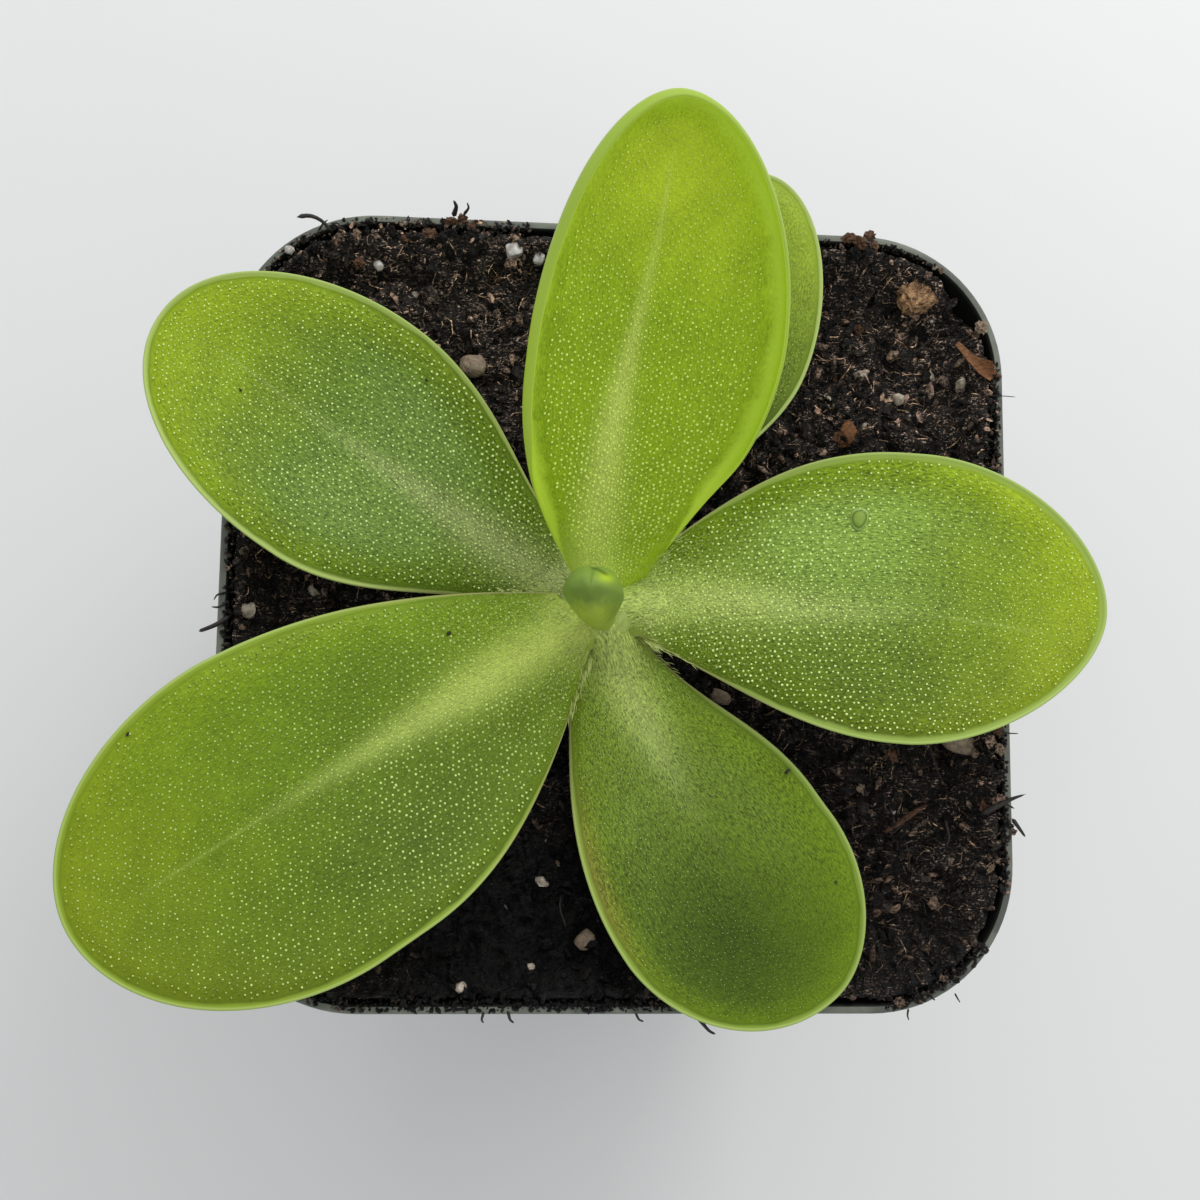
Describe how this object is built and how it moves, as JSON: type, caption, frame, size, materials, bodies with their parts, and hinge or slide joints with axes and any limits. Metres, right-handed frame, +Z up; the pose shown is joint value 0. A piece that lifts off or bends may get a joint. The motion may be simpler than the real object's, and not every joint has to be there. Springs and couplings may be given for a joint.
{
  "type": "potted butterwort",
  "caption": "Flat rosette of broad, spoon-shaped, sticky leaves with rolled margins round a young folded leaf, growing in a filled, tapered, square plastic nursery pot.",
  "frame": {"origin": "middle of the pot's flat underside", "axes": "+Z up out of the pot, +X and +Y across its flats; the young upright leaf leans towards +Y and the largest leaf towards -X and -Y"},
  "size_m": [0.0926, 0.0821, 0.1077],
  "materials": {
    "pot": "satin dark grey-green moulded plastic",
    "soil": "moist, fibrous peat mix with sand",
    "crown": "pale fleshy stem and roots",
    "leaf_green": "greasy satin leaf with dew-like glands",
    "leaf_young_green": "brighter greasy satin leaf",
    "bark": "rough dry bark",
    "wood": "rough splintered wood",
    "quartz": "white quartz sand grain",
    "stone": "dull tan stone"
  },
  "bodies": {
    "root": {"pot": "pot", "soil": "soil", "crown": "crown", "leaf_1_upright": "leaf_young_green", "young_leaf": "leaf_young_green", "leaf_2_front_left": "leaf_green", "leaf_3_right": "leaf_green", "leaf_4_back_left": "leaf_green", "leaf_5_front_right": "leaf_green", "leaf_6_back": "leaf_green", "bark_chip": "bark", "wood_sliver_back_right": "wood", "wood_sliver_right": "wood", "wood_curl": "wood", "quartz_grain_1": "quartz", "quartz_grain_2": "quartz", "quartz_grain_3": "quartz", "stone_back": "stone", "stone_right": "stone", "stone_front": "stone", "stone_middle": "stone"}
  },
  "joints": []
}
